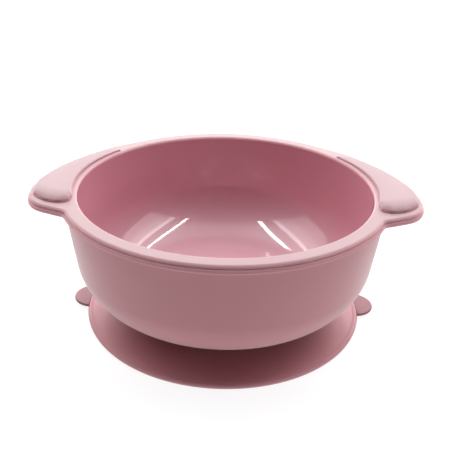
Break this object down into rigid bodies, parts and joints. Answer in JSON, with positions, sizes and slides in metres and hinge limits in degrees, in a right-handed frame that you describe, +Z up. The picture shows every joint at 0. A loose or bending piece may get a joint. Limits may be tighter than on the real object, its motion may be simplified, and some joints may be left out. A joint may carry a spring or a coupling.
{
  "type": "suction bowl",
  "caption": "Round deep bowl with a flat flanged rim, swept side ears with raised pads, and a flexible suction base with pull tabs.",
  "frame": {"origin": "on the table, under the centre of the round bowl", "axes": "+Z up out of the bowl, +X towards the right ear, -Y towards the eater, where the ears end"},
  "size_m": [0.1574, 0.1338, 0.0595],
  "materials": {
    "silicone_matte": "matte moulded silicone",
    "silicone_gloss": "glossy moulded silicone",
    "silicone_pad": "matte moulded silicone",
    "silicone_base": "satin moulded silicone"
  },
  "bodies": {
    "base_edge": {"sealing_lip": "silicone_base", "suction_skirt": "silicone_base"},
    "base_hub": {"base_hub": "silicone_base"},
    "bowl": {"bowl_shell": "silicone_matte", "bowl_liner": "silicone_gloss", "rim_plate": "silicone_matte", "rim_lip": "silicone_matte", "ear_pad_left": "silicone_pad", "ear_pad_right": "silicone_pad"},
    "tab_left": {"pull_tab_left": "silicone_base"},
    "tab_right": {"pull_tab_right": "silicone_base"}
  },
  "joints": [
    {"name": "suction_press", "type": "slide", "parent": "base_edge", "child": "base_hub", "axis": [0, 0, -1], "range_m": [0, 0.0026], "stiffness_N_per_m": 1000, "springref_m": -0.00137, "deforming": ["suction_skirt"]},
    {"name": "bowl_lift_off", "type": "slide", "parent": "base_hub", "child": "bowl", "axis": [0, 0, 1], "range_m": [0, 0.05]},
    {"name": "left_tab_lift", "type": "hinge", "parent": "base_edge", "child": "tab_left", "pos_m": [-0.0593, 0, 0.0023], "axis": [0, 1, 0], "range_deg": [0, 70], "stiffness_Nm_per_rad": 0.01},
    {"name": "right_tab_lift", "type": "hinge", "parent": "base_edge", "child": "tab_right", "pos_m": [0.0593, 0, 0.0023], "axis": [0, -1, 0], "range_deg": [0, 70], "stiffness_Nm_per_rad": 0.01}
  ]
}
